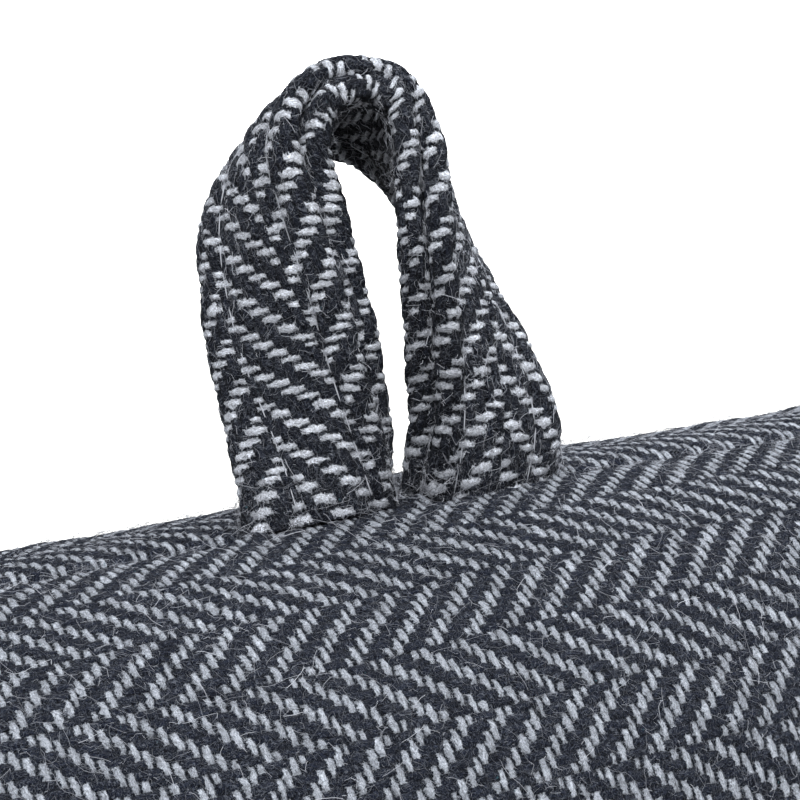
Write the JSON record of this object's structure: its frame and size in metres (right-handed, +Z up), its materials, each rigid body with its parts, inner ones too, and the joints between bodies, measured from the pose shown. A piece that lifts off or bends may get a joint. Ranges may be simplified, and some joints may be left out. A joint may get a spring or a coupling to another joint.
{
  "type": "draught excluder",
  "caption": "Long firmly filled tube of herringbone tweed that lies along the foot of a door to stop draughts, with a folded and topstitched hanging loop sewn into its top seam.",
  "frame": {"origin": "on the surface the tube lies on, under the middle of its length and width", "axes": "+X along the tube, +Y towards its back, +Z up through the seam that holds the loop"},
  "size_m": [0.85, 0.134, 0.1651],
  "materials": {
    "herringbone_tweed": "matt woollen weave",
    "herringbone_strip": "matt woollen weave"
  },
  "bodies": {
    "root": {"cover": "herringbone_tweed", "hanging_loop": "herringbone_strip"}
  },
  "joints": []
}
